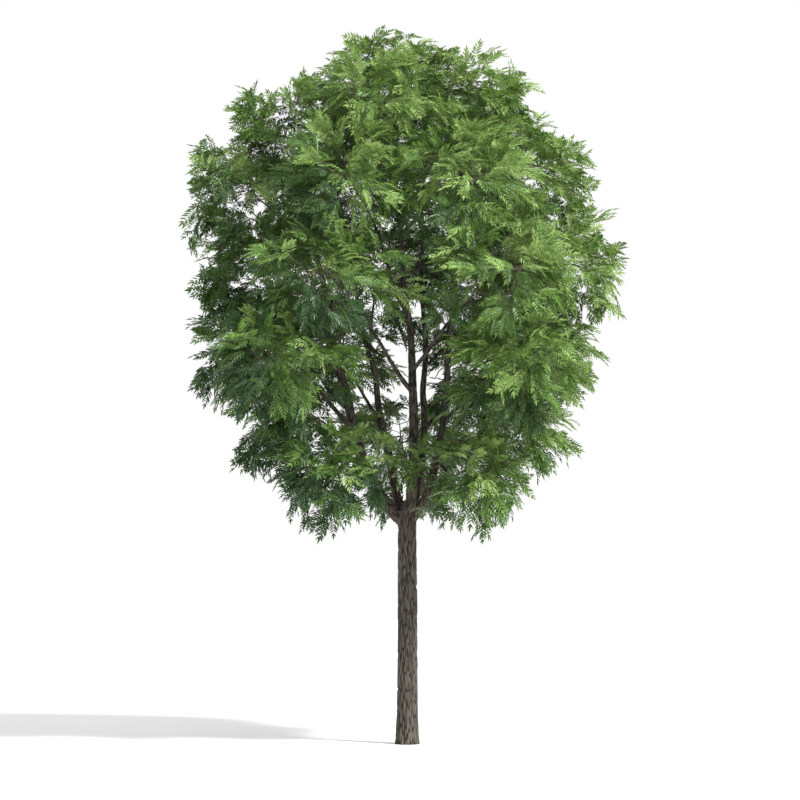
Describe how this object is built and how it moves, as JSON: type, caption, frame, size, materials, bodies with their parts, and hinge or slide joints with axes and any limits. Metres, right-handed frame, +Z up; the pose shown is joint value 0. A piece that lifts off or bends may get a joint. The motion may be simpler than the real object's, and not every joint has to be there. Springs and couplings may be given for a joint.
{
  "type": "chinese honey locust tree",
  "caption": "Broadleaf tree with a straight clear stem, a low fork of upswept boughs and an egg-shaped crown of fine feathery foliage.",
  "frame": {"origin": "middle of the flat cut under the trunk, at ground level", "axes": "+Z up along the trunk, +X to the tree's right as it is seen from the front, +Y to its back"},
  "size_m": [4.9887, 4.115, 7.9949],
  "materials": {
    "bark": "rough",
    "foliage": "satin"
  },
  "bodies": {
    "root": {"bough_back_left": "bark", "bough_back_right": "bark", "bough_centre": "bark", "bough_left": "bark", "bough_right": "bark", "foliage_head_back": "foliage", "foliage_head_front": "foliage", "foliage_head_left": "foliage", "foliage_head_right": "foliage", "foliage_low_back": "foliage", "foliage_low_front": "foliage", "foliage_low_left": "foliage", "foliage_low_right": "foliage", "foliage_middle_back_left": "foliage", "foliage_middle_back_right": "foliage", "foliage_middle_front_left": "foliage", "foliage_middle_front_right": "foliage", "foliage_middle_left": "foliage", "foliage_middle_right": "foliage", "foliage_shoulder_back_left": "foliage", "foliage_shoulder_back_right": "foliage", "foliage_shoulder_front_left": "foliage", "foliage_shoulder_front_right": "foliage", "foliage_shoulder_left": "foliage", "foliage_shoulder_right": "foliage", "foliage_skirt_left": "foliage", "foliage_skirt_right": "foliage", "foliage_top": "foliage", "foliage_waist_back_left": "foliage", "foliage_waist_back_right": "foliage", "foliage_waist_front_left": "foliage", "foliage_waist_front_right": "foliage", "foliage_waist_left": "foliage", "foliage_waist_right": "foliage", "side_bough_head_front": "bark", "side_bough_low_back": "bark", "side_bough_low_front": "bark", "side_bough_low_left": "bark", "side_bough_low_right": "bark", "side_bough_middle_back_left": "bark", "side_bough_middle_back_right": "bark", "side_bough_middle_front_left": "bark", "side_bough_middle_front_right": "bark", "side_bough_middle_left": "bark", "side_bough_middle_right": "bark", "side_bough_shoulder_back_right": "bark", "side_bough_shoulder_front_left": "bark", "side_bough_shoulder_front_right": "bark", "side_bough_shoulder_left": "bark", "side_bough_shoulder_right": "bark", "side_bough_skirt_left": "bark", "side_bough_skirt_right": "bark", "side_bough_waist_back_left": "bark", "side_bough_waist_back_right": "bark", "side_bough_waist_front_left": "bark", "side_bough_waist_front_right": "bark", "side_bough_waist_left": "bark", "side_bough_waist_right": "bark", "trunk": "bark"}
  },
  "joints": []
}
